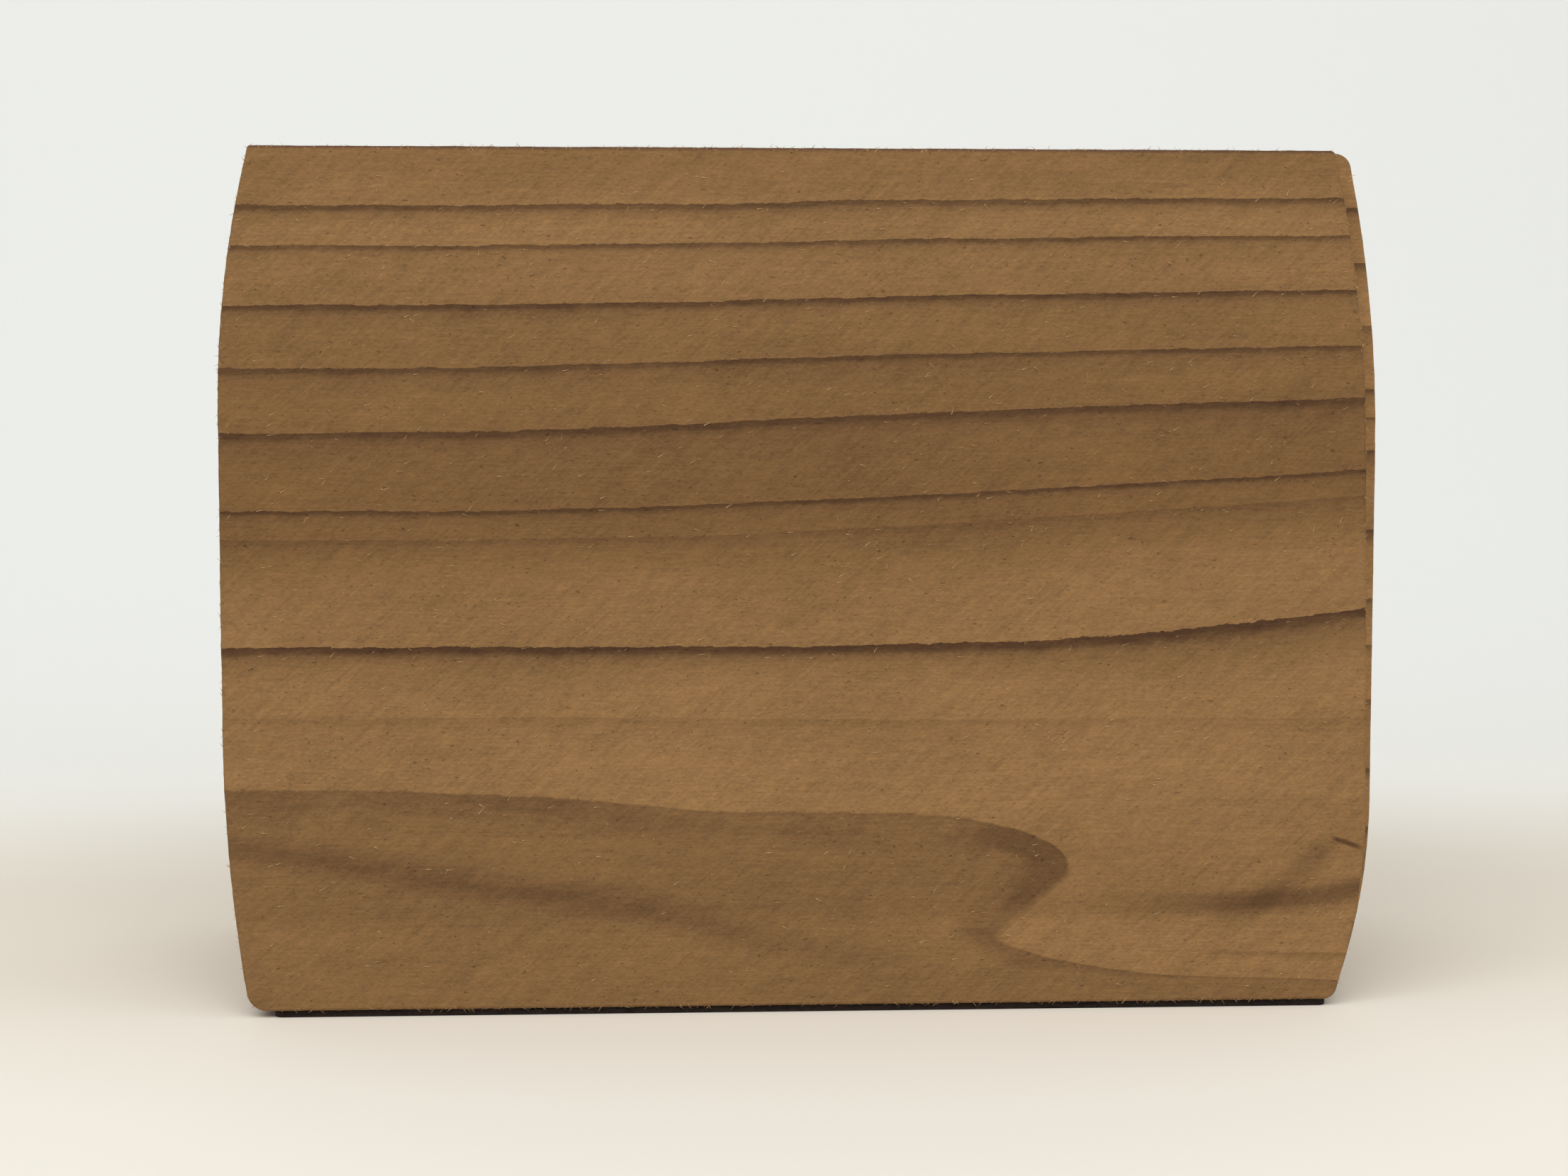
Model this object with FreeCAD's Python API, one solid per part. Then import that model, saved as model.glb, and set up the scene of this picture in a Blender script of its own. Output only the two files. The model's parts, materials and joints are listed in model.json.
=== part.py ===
import FreeCAD, Part
import math
import os

# A palm-size box-type bass drum in cedar: a thin playing board in front, three rings glued into a hollow
# body, and a back board with a round sound port that comes off on six screws, bedded on cork.
# Millimetres. +X to the right and +Z up, seen from the front; the playing board faces -Y.
# The origin is on the floor, at the centre of the drum's box.

# Body outline, seen from the front: level top and bottom, ends that bulge, each its own way.
body_width = 106.5            # across the two ends, where they are widest
body_height = 79.0            # from the floor to the top, feet included
end_land_bottom_left = 26.0   # the ends run straight between these heights
end_land_bottom_right = 19.0
end_land_top_left = 55.0
end_land_top_right = 52.0
end_inset_top = 3.0           # how far an end has curved in at the top edge
end_inset_bottom_left = 2.1   # and at the bottom edge
end_inset_bottom_right = 3.1
body_corner_round = 1.5

# Body rings: a window is cut in each, and they are glued face to face.
ring_count = 3
ring_thickness = 12.5
wall_top = 8.0
wall_bottom = 8.0
wall_end = 7.5                # the thinnest wood beside the window
window_corner_round = 6.0

# Playing board, glued to the front ring a little inside the body's ends.
front_board_thickness = 3.0
front_reveal_left = 0.25
front_reveal_right_top = 2.0
front_reveal_right_bottom = 0.9
front_corner_top_left = 0.35
front_corner_top_right = 0.6
front_corner_bottom_left = 1.8
front_corner_bottom_right = 1.3
arris_round = 0.3             # outer edges of the front and back boards

# Back board, the cork gasket it beds on, and its sound port.
gasket_thickness = 0.5
back_board_thickness = 4.0
port_radius = 9.5
port_sleeve_wall = 1.6
port_sleeve_reach = 1.5       # past the board's inner face
port_flange_width = 2.4       # beyond the sleeve
port_flange_thickness = 1.8
port_lip_round = 0.8
port_fit = 0.05

# Bars glued across the grain, inside both boards.
bar_width = 5.0
front_bar_depth = 6.0
back_bar_depth = 5.0
front_bar_spacing = 44.0
back_bar_spacing = 52.0
bar_end_gap = 1.0
bar_taper_length = 10.0
bar_tip_depth = 2.4

# Beech dowels that line the layers up.
dowel_radius = 2.0
dowel_fit = 0.05
dowel_web = 1.5               # wood left between two dowels that meet end to end
dowel_skin = 1.2              # wood left in front of a dowel in an outer board
dowel_end_gap = 0.3
dowel_chamfer = 0.4

# Slotted countersunk screws in cup washers.
screw_radius = 1.2
screw_length = 14.0
screw_point_length = 2.4
screw_head_radius = 2.3
screw_head_height = 1.1
screw_crown = 0.25            # the head's low dome
screw_slot_width = 0.6
screw_slot_depth = 0.7
screw_spacing = 58.0
screw_hole_clearance = 0.2
screw_thread_fit = 0.02
screw_tip_gap = 0.5
washer_radius = 3.2
washer_edge = 0.35
washer_rim = 0.25             # flat ring around the head

# Felt runners under the front and back edges.
runner_thickness = 0.6
runner_width = 10.0
runner_inset_end = 4.6        # from the body's widest line to a runner's end
runner_inset_front = 0.4
runner_inset_back = 0.6
runner_corner_round = 0.8

# Felt pad on the back board's inner face, between the bars and below the port.
pad_thickness = 4.0
pad_bar_gap = 3.0             # from each back bar
pad_bottom_gap = 2.0          # above the window's bottom
pad_port_gap = 2.5            # below the port's sleeve
pad_corner_round = 3.0

# Places that follow from the sizes above.
rings_depth = ring_count * ring_thickness
back_depth = gasket_thickness + back_board_thickness + port_flange_thickness
total_depth = front_board_thickness + rings_depth + back_depth
front_y = -total_depth / 2
rings_y = front_y + front_board_thickness
rings_back_y = rings_y + rings_depth
back_board_y = rings_back_y + gasket_thickness
back_y = back_board_y + back_board_thickness
half_width = body_width / 2
body_bottom = runner_thickness
window_half = half_width - max(end_inset_top, end_inset_bottom_left, end_inset_bottom_right) - wall_end
window_bottom = body_bottom + wall_bottom
window_top = body_height - wall_top
window_middle = (window_bottom + window_top) / 2
top_rail_middle = body_height - wall_top / 2
bottom_rail_middle = body_bottom + wall_bottom / 2
sleeve_radius = port_radius + port_sleeve_wall
dowel_reach = (ring_thickness - dowel_web) / 2
washer_height = screw_head_height

# Dowels stand in the corners beside the window.
dowel_x = window_half + wall_end / 2
dowel_places = [(sx * dowel_x, z) for sx in (-1, 1) for z in (bottom_rail_middle, top_rail_middle)]
back_dowel_places = [(-dowel_x, bottom_rail_middle), (dowel_x, top_rail_middle)]

# Screws: two in the top rail, two in the bottom rail, one in the middle of each end.
end_screw_x = window_half + (half_width - window_half) / 2
screw_places = [(sx * screw_spacing / 2, z) for sx in (-1, 1) for z in (bottom_rail_middle, top_rail_middle)]
screw_places += [(sx * end_screw_x, window_middle) for sx in (-1, 1)]

ALONG_Y = FreeCAD.Vector(0, 1, 0)
ALONG_Z = FreeCAD.Vector(0, 0, 1)


def point(x, y, z):
    return FreeCAD.Vector(x, y, z)


def save(name, shape):
    """One node, one STEP file."""
    shape.exportStep("parts/" + name + ".step")


def group(shapes):
    return Part.makeCompound(shapes)


def end_land(side):
    """The heights between which an end is straight."""
    if side < 0:
        return end_land_bottom_left, end_land_top_left
    return end_land_bottom_right, end_land_top_right


def end_inset_bottom(side):
    return end_inset_bottom_left if side < 0 else end_inset_bottom_right


def end_x(side, z):
    """An end's distance from the middle at a height: straight on the land, an arc above it and one below it.
    side is -1 on the left and 1 on the right."""
    land_bottom, land_top = end_land(side)
    if z > land_top:
        rise, run, inset = z - land_top, body_height - land_top, end_inset_top
    elif z < land_bottom:
        rise, run, inset = land_bottom - z, land_bottom - body_bottom, end_inset_bottom(side)
    else:
        return half_width
    radius = (run ** 2 + inset ** 2) / (2 * inset)
    return half_width - (radius - math.sqrt(radius ** 2 - rise ** 2))


def end_edges(side, y, reveal_bottom, reveal_top):
    """One end of an outline, from bottom to top: arc, land, arc."""
    def at(z):
        share = (z - body_bottom) / (body_height - body_bottom)
        reveal = reveal_bottom + (reveal_top - reveal_bottom) * share
        return point(side * (end_x(side, z) - reveal), y, z)
    land_bottom, land_top = end_land(side)
    low_arc = Part.Arc(at(body_bottom), at((body_bottom + land_bottom) / 2), at(land_bottom))
    land = Part.LineSegment(at(land_bottom), at(land_top))
    high_arc = Part.Arc(at(land_top), at((land_top + body_height) / 2), at(body_height))
    return [low_arc.toShape(), land.toShape(), high_arc.toShape()]


def corner_edge(solid, side, z):
    """The edge along Y at one corner of an outline."""
    def is_corner(edge):
        a, b = edge.Vertexes[0].Point, edge.Vertexes[-1].Point
        along_y = abs(a.x - b.x) < 1e-6 and abs(a.z - b.z) < 1e-6
        return along_y and abs(a.z - z) < 1e-6 and a.x * side > 0
    return [edge for edge in solid.Edges if is_corner(edge)]


def outline_solid(y, thickness, reveals, corner_rounds):
    """A slab of the body's outline. reveals: left, right at the bottom, right at the top.
    corner_rounds: bottom left, bottom right, top left, top right."""
    left, right_bottom, right_top = reveals
    left_edges = end_edges(-1, y, left, left)
    right_edges = end_edges(1, y, right_bottom, right_top)
    bottom = Part.makeLine(left_edges[0].Vertexes[0].Point, right_edges[0].Vertexes[0].Point)
    top = Part.makeLine(left_edges[-1].Vertexes[-1].Point, right_edges[-1].Vertexes[-1].Point)
    loop = Part.__sortEdges__(left_edges + right_edges + [bottom, top])
    slab = Part.Face(Part.Wire(loop)).extrude(ALONG_Y * thickness)
    corners = [(-1, body_bottom), (1, body_bottom), (-1, body_height), (1, body_height)]
    for (side, z), radius in zip(corners, corner_rounds):
        slab = slab.makeFillet(radius, corner_edge(slab, side, z))
    return slab


def ease_outer_arris(slab, y):
    """Rounds the edges that lie all in the outer face at y."""
    edges = [e for e in slab.Edges if all(abs(v.Point.y - y) < 1e-6 for v in e.Vertexes)]
    return slab.makeFillet(arris_round, edges)


def rod(radius, x, z, y, length):
    return Part.makeCylinder(radius, length, point(x, y, z), ALONG_Y)


def turned(profile, x, z, y):
    """A solid turned about an axis along Y. profile holds (radius, distance along Y) points."""
    loop = Part.makePolygon([point(r, along, 0) for r, along in profile + profile[:1]])
    shape = Part.Face(loop).revolve(point(0, 0, 0), ALONG_Y, 360)
    shape.translate(point(x, y, z))
    return shape


def dowel_holes(places, joint_y, before, after):
    """Blind holes that cross the joint at joint_y, with the dowel's fit and end gap."""
    radius = dowel_radius + dowel_fit
    start = joint_y - before - dowel_end_gap
    return [rod(radius, x, z, start, before + after + 2 * dowel_end_gap) for x, z in places]


def dowels(places, joint_y, before, after):
    """Chamfered pins across the joint at joint_y."""
    length, radius, cut = before + after, dowel_radius, dowel_chamfer
    profile = [(0, 0), (radius - cut, 0), (radius, cut),
               (radius, length - cut), (radius - cut, length), (0, length)]
    return group([turned(profile, x, z, joint_y - before) for x, z in places])


def round_block(size, corner, radius, axis):
    """A box of the given size from its lowest corner, with the four edges along an axis rounded."""
    block = Part.makeBox(*size, corner)
    along = [e for e in block.Edges if abs((e.Vertexes[0].Point - e.Vertexes[-1].Point).dot(axis)) > 1e-6]
    return block.makeFillet(radius, along)


def window(y, thickness):
    """The opening in a ring or in the gasket."""
    size = (2 * window_half, thickness, window_top - window_bottom)
    return round_block(size, point(-window_half, y, window_bottom), window_corner_round, ALONG_Y)


def front_dowel_reach():
    return front_board_thickness - dowel_skin - dowel_end_gap


def back_dowel_reach():
    return back_board_thickness - dowel_skin - dowel_end_gap


def front_board():
    """The playing board: thin, flat, its outer edges eased and its corners worn round."""
    reveals = (front_reveal_left, front_reveal_right_bottom, front_reveal_right_top)
    corners = (front_corner_bottom_left, front_corner_bottom_right,
               front_corner_top_left, front_corner_top_right)
    board = outline_solid(front_y, front_board_thickness, reveals, corners)
    board = ease_outer_arris(board, front_y)
    return board.cut(dowel_holes(dowel_places, rings_y, front_dowel_reach(), dowel_reach))


def screw_pilots():
    """Holes the screw cores cut in the back ring."""
    depth = screw_length + screw_tip_gap - washer_height - back_board_thickness - gasket_thickness
    radius = screw_radius + screw_thread_fit
    return [rod(radius, x, z, rings_back_y - depth, depth) for x, z in screw_places]


def screw_holes(y, thickness):
    """Clearance holes for the screws, through a layer that starts at y."""
    radius = screw_radius + screw_hole_clearance
    return [rod(radius, x, z, y, thickness) for x, z in screw_places]


def ring(number):
    """One body ring: the outline with a window, and blind holes for the dowels in both faces."""
    y = rings_y + number * ring_thickness
    body = outline_solid(y, ring_thickness, (0, 0, 0), [body_corner_round] * 4)
    tools = [window(y, ring_thickness)]
    for joint in (number, number + 1):
        joint_y = rings_y + joint * ring_thickness
        places = back_dowel_places if joint == ring_count else dowel_places
        tools += dowel_holes(places, joint_y, dowel_reach, dowel_reach)
    if number == ring_count - 1:
        tools += screw_pilots()
    return body.cut(tools)


def back_gasket():
    """Sheet cork cut to the ring's face, between the back ring and the back board."""
    sheet = outline_solid(rings_back_y, gasket_thickness, (0, 0, 0), [body_corner_round] * 4)
    tools = [window(rings_back_y, gasket_thickness)]
    tools += screw_holes(rings_back_y, gasket_thickness)
    tools += [rod(dowel_radius + dowel_fit, x, z, rings_back_y, gasket_thickness) for x, z in back_dowel_places]
    return sheet.cut(tools)


def back_board():
    """The back board, with a hole for the port's sleeve, screw holes and two locating holes."""
    board = outline_solid(back_board_y, back_board_thickness, (0, 0, 0), [body_corner_round] * 4)
    board = ease_outer_arris(board, back_y)
    tools = [rod(sleeve_radius + port_fit, 0, window_middle, back_board_y, back_board_thickness)]
    tools += screw_holes(back_board_y, back_board_thickness)
    tools += dowel_holes(back_dowel_places, back_board_y, dowel_reach, back_dowel_reach())
    return board.cut(tools)


def port_ring():
    """A turned ring glued in the port: sleeve through the board, flange against its outer face."""
    inner_y = -back_board_thickness - port_sleeve_reach
    flange_radius = sleeve_radius + port_flange_width
    profile = [(port_radius, inner_y), (sleeve_radius, inner_y), (sleeve_radius, 0),
               (flange_radius, 0), (flange_radius, port_flange_thickness), (port_radius, port_flange_thickness)]
    shape = turned(profile, 0, window_middle, back_y)
    outer_y = back_y + port_flange_thickness
    lips = [e for e in shape.Edges if len(e.Vertexes) == 1 and abs(e.Vertexes[0].Point.y - outer_y) < 1e-6]
    return shape.makeFillet(port_lip_round, lips)


def bar(x, wall_y, depth, inward):
    """A bar across the grain, glued at wall_y, standing off by depth along inward, with tapered ends."""
    low, high = window_bottom + bar_end_gap, window_top - bar_end_gap
    shape = [(0, low), (0, high), (bar_tip_depth, high), (depth, high - bar_taper_length),
             (depth, low + bar_taper_length), (bar_tip_depth, low), (0, low)]
    left = x - bar_width / 2
    loop = Part.makePolygon([point(left, wall_y + inward * out, z) for out, z in shape])
    return Part.Face(loop).extrude(point(bar_width, 0, 0))


def cup_washers():
    """Cup washers: a cone seat for the head, a flat rim and a sloping outside."""
    seat = screw_head_radius + screw_thread_fit
    hole = screw_radius + screw_thread_fit
    profile = [(hole, 0), (washer_radius, 0), (washer_radius, washer_edge),
               (seat + washer_rim, washer_height), (seat, washer_height)]
    return group([turned(profile, x, z, back_y) for x, z in screw_places])


def back_screws():
    """Slotted countersunk screws, heads level with their washers apart from a low crown."""
    crown_y = washer_height + screw_crown
    tip_y = washer_height - screw_length
    profile = [(0, tip_y), (screw_radius, tip_y + screw_point_length), (screw_radius, 0),
               (screw_head_radius, washer_height), (screw_head_radius / 2, crown_y), (0, crown_y)]
    slot_size = (2 * screw_head_radius, screw_slot_depth, screw_slot_width)
    screws = []
    for x, z in screw_places:
        corner = point(x - screw_head_radius, back_y + crown_y - screw_slot_depth, z - screw_slot_width / 2)
        screws.append(turned(profile, x, z, back_y).cut(Part.makeBox(*slot_size, corner)))
    return group(screws)


def runner(y):
    """A felt strip on the floor, its front edge at y."""
    half_length = half_width - runner_inset_end
    size = (2 * half_length, runner_width, runner_thickness)
    return round_block(size, point(-half_length, y, 0), runner_corner_round, ALONG_Z)


def damping_pad():
    """Felt glued to the back board to take the ring out of its note."""
    half_length = (back_bar_spacing - bar_width) / 2 - pad_bar_gap
    low = window_bottom + pad_bottom_gap
    high = window_middle - sleeve_radius - pad_port_gap
    size = (2 * half_length, pad_thickness, high - low)
    corner = point(-half_length, back_board_y - pad_thickness, low)
    return round_block(size, corner, pad_corner_round, ALONG_Y)


os.makedirs("parts", exist_ok=True)

save("front_board", front_board())
save("front_board_dowels", dowels(dowel_places, rings_y, front_dowel_reach(), dowel_reach))
save("front_bar_left", bar(-front_bar_spacing / 2, rings_y, front_bar_depth, 1))
save("front_bar_right", bar(front_bar_spacing / 2, rings_y, front_bar_depth, 1))

for number, name in enumerate(("front", "middle", "back")):
    save("body_ring_" + name, ring(number))
for joint, name in ((1, "front"), (2, "back")):
    joint_y = rings_y + joint * ring_thickness
    save("ring_dowels_" + name, dowels(dowel_places, joint_y, dowel_reach, dowel_reach))

save("back_gasket", back_gasket())
save("back_board", back_board())
back_dowels = dowels(back_dowel_places, back_board_y, dowel_reach + gasket_thickness, back_dowel_reach())
save("back_board_dowels", back_dowels)
save("back_bar_left", bar(-back_bar_spacing / 2, back_board_y, back_bar_depth, -1))
save("back_bar_right", bar(back_bar_spacing / 2, back_board_y, back_bar_depth, -1))
save("damping_pad", damping_pad())
save("port_ring", port_ring())
save("back_cup_washers", cup_washers())
save("back_screws", back_screws())

save("foot_runner_front", runner(front_y + runner_inset_front))
save("foot_runner_back", runner(back_y - runner_inset_back - runner_width))
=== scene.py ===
import bmesh
import bpy
import json
import math
import random
from mathutils import Euler, Matrix, Vector
from mathutils import noise as wood_noise

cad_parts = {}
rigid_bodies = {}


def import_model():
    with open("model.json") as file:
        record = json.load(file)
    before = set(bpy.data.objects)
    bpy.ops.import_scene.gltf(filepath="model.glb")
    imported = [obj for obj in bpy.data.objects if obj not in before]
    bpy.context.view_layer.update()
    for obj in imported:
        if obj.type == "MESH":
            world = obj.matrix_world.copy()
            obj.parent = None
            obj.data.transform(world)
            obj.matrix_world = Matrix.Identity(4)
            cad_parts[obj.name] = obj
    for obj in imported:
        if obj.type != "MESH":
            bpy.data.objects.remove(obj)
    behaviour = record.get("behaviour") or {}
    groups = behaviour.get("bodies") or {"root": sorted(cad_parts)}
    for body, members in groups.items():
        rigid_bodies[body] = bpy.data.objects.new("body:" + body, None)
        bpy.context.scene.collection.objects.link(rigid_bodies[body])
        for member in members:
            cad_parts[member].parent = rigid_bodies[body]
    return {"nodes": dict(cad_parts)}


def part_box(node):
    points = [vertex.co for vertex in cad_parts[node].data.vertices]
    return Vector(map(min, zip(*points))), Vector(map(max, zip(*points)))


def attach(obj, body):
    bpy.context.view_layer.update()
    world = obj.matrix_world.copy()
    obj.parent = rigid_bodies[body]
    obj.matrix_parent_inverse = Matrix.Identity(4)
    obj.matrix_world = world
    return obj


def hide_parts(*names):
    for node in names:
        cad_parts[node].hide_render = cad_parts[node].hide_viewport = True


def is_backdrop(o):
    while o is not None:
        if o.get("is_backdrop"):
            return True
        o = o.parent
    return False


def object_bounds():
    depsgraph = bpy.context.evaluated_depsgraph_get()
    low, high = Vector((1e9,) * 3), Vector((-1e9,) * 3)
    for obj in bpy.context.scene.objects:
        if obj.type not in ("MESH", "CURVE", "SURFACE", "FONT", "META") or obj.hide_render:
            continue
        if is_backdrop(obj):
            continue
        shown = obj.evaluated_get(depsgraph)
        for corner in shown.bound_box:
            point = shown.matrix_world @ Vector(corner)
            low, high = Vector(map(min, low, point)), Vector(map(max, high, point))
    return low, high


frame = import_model()
cad_low, cad_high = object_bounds()
for scene_object in bpy.data.objects:
    scene_object.select_set(False)


# ---------------------------------------------------------------- playing board
# The struck front of the drum: a 3 mm board of flat-sawn cedar with its grain from side to side,
# bandsawn to the body's outline, its face sanded by hand on the slant and left bare.
# It is glued to the front body ring, a little inside the right end.

MM = 0.001
board_low, board_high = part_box("front_board")
board_front = board_low.y

# The sawn outline runs outside this core; the window and the dowel and screw holes lie inside it.
core_half_width = 48.6 * MM
core_low = 1.95 * MM
core_high = 77.2 * MM
outline_step = 0.7 * MM
same_place = 0.001 * MM


def select_only(piece):
    bpy.ops.object.select_all(action="DESELECT")
    piece.select_set(True)
    bpy.context.view_layer.objects.active = piece


def on_outline(place):
    """True on the sawn outline of a board, and false in its holes."""
    return abs(place.x) > core_half_width or place.z < core_low or place.z > core_high


def copy_of(node_name, piece_name):
    """A copy of one of the drum's plain boards, merged and with its flat faces made whole."""
    mesh = frame["nodes"][node_name].data.copy()
    mesh.name = piece_name
    piece = bpy.data.objects.new(piece_name, mesh)
    bpy.context.scene.collection.objects.link(piece)
    select_only(piece)
    bpy.ops.object.mode_set(mode="EDIT")
    bpy.ops.mesh.select_all(action="SELECT")
    bpy.ops.mesh.remove_doubles(threshold=same_place)
    bpy.ops.mesh.dissolve_limited(angle_limit=math.radians(0.4))
    bpy.ops.object.mode_set(mode="OBJECT")
    bpy.ops.mesh.customdata_custom_splitnormals_clear()
    mesh.materials.clear()
    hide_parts(node_name)
    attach(piece, "root")
    return piece


def select_edges(piece, wanted):
    """Selects the edges for which wanted(a, b) is true, a and b being their ends, and counts them."""
    mesh = piece.data
    for face in mesh.polygons:
        face.select = False
    for vertex in mesh.vertices:
        vertex.select = False
    count = 0
    for edge in mesh.edges:
        a, b = (mesh.vertices[number].co for number in edge.vertices)
        edge.select = wanted(a, b)
        count += edge.select
    return count


def edit(piece, operator, **settings):
    select_only(piece)
    bpy.ops.object.mode_set(mode="EDIT")
    bpy.ops.mesh.select_mode(type="EDGE")
    operator(**settings)
    bpy.ops.object.mode_set(mode="OBJECT")


def ease_rims(piece, ys, width):
    """Breaks the sharp outline edges that lie in the planes at ys."""
    def in_a_plane(a, b):
        level = any(abs(a.y - y) < same_place and abs(b.y - y) < same_place for y in ys)
        return level and on_outline(a) and on_outline(b)
    select_edges(piece, in_a_plane)
    edit(piece, bpy.ops.mesh.bevel, offset=width, segments=2, profile=0.5, affect="EDGES")


# Along the straight top and bottom the saw wandered less than round the ends.
straight_cut = 0.6


def saw_outline(piece, depth, seed):
    """Divides the outline finely, then roughens it inwards, by depth at the most, as a saw leaves it."""
    def too_long(a, b):
        level = abs(a.y - b.y) < same_place
        return level and on_outline(a) and on_outline(b) and (a - b).length > outline_step
    while select_edges(piece, too_long):
        edit(piece, bpy.ops.mesh.subdivide, number_cuts=1)
    for vertex in piece.data.vertices:
        place = vertex.co
        if not on_outline(place):
            continue
        where = Vector((place.x, seed * MM, place.z)) / MM
        wave = 0.5 + 0.5 * wood_noise.noise(where * 0.35)
        tooth = 0.5 + 0.5 * wood_noise.noise(where * 1.3)
        bite = depth * (0.55 * wave + 0.45 * tooth)
        if abs(place.x) > core_half_width:
            place.x -= math.copysign(bite, place.x)
        if place.z < core_low:
            place.z += bite * straight_cut
        elif place.z > core_high:
            place.z -= bite * straight_cut
    select_only(piece)
    bpy.ops.object.shade_smooth_by_angle(angle=math.radians(38))


playing_board = copy_of("front_board", "playing_board")
saw_outline(playing_board, 0.16 * MM, 3)


def srgb(red, green, blue):
    """A colour written as seen, 0 to 255, as the linear colour that a shader takes."""
    def linear(value):
        share = value / 255
        return share / 12.92 if share <= 0.04045 else ((share + 0.055) / 1.055) ** 2.4
    return (linear(red), linear(green), linear(blue), 1.0)


def feed(tree, socket, value):
    """Gives a shader socket either a value of its own or another node's output."""
    if isinstance(value, bpy.types.NodeSocket):
        tree.links.new(value, socket)
    else:
        socket.default_value = value


def node(tree, kind, inputs=(), **settings):
    """Adds one shader node. inputs pairs a socket's name or number with a value or an output."""
    made = tree.nodes.new("ShaderNode" + kind)
    for key, value in settings.items():
        setattr(made, key, value)
    for key, value in dict(inputs).items():
        feed(tree, made.inputs[key], value)
    return made


def calc(tree, operation, *values):
    return node(tree, "Math", enumerate(values), operation=operation).outputs[0]


def times(tree, first, *others):
    product = first
    for other in others:
        product = calc(tree, "MULTIPLY", product, other)
    return product


def apart(tree, first, second):
    return calc(tree, "ABSOLUTE", calc(tree, "SUBTRACT", first, second))


def ramp(tree, value, start, end, low=0.0, high=1.0, smooth=True):
    """Goes from low to high as value goes from start to end, and stays there."""
    kind = "SMOOTHSTEP" if smooth else "LINEAR"
    inputs = {0: value, 1: start, 2: end, 3: low, 4: high}
    return node(tree, "MapRange", inputs, interpolation_type=kind).outputs[0]


def drawn_curve(tree, value, points):
    """A smooth curve through given points, read at value."""
    xs = [x for x, y in points]
    ys = [y for x, y in points]
    low, high = min(ys), max(ys)
    made = node(tree, "FloatCurve", {"Value": ramp(tree, value, xs[0], xs[-1], smooth=False)})
    curve = made.mapping.curves[0]
    for number, (x, y) in enumerate(points):
        place = ((x - xs[0]) / (xs[-1] - xs[0]), (y - low) / (high - low))
        if number in (0, len(points) - 1):
            curve.points[0 if number == 0 else -1].location = place
        else:
            curve.points.new(*place)
    for curve_point in curve.points:
        curve_point.handle_type = "AUTO_CLAMPED"
    made.mapping.update()
    return calc(tree, "MULTIPLY_ADD", made.outputs[0], high - low, low)


def noise(tree, where, scale, detail=2.0, roughness=0.5):
    """Noise from about -0.5 to 0.5 on coordinates in millimetres; scale is waves per millimetre."""
    inputs = {"Vector": where, "Scale": scale, "Detail": detail, "Roughness": roughness}
    return calc(tree, "SUBTRACT", node(tree, "TexNoise", inputs).outputs[0], 0.5)


def stretched(tree, where, stretch, turn=(0, 0, 0), shift=(0, 0, 0)):
    made = node(tree, "Mapping", {"Vector": where, "Location": shift, "Rotation": turn, "Scale": stretch})
    return made.outputs[0]


def grained(tree, where, stretch, detail=2.0, roughness=0.5, turn=(0, 0, 0), shift=(0, 0, 0)):
    """Noise with its own scale along X, Y and Z: small along the grain, large across it."""
    return noise(tree, stretched(tree, where, stretch, turn, shift), 1.0, detail, roughness)


def new_group(name, inputs, outputs):
    """A shader node group with its named sockets; each is a (name, kind, starting value)."""
    group = bpy.data.node_groups.new(name, "ShaderNodeTree")
    for label, kind, start in inputs:
        socket = group.interface.new_socket(label, in_out="INPUT", socket_type="NodeSocket" + kind)
        if start is not None:
            socket.default_value = start
    for label, kind in outputs:
        group.interface.new_socket(label, in_out="OUTPUT", socket_type="NodeSocket" + kind)
    entry = group.nodes.new("NodeGroupInput")
    leave = group.nodes.new("NodeGroupOutput")
    return group, entry.outputs, leave.inputs


def placed(tree, group, inputs):
    made = tree.nodes.new("ShaderNodeGroup")
    made.node_tree = group
    for key, value in inputs.items():
        feed(tree, made.inputs[key], value)
    return made.outputs


def weighed(tree, parts, start):
    """start plus every part times its weight."""
    total = start
    for part, weight in parts:
        total = calc(tree, "MULTIPLY_ADD", part, weight, total)
    return total


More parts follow.
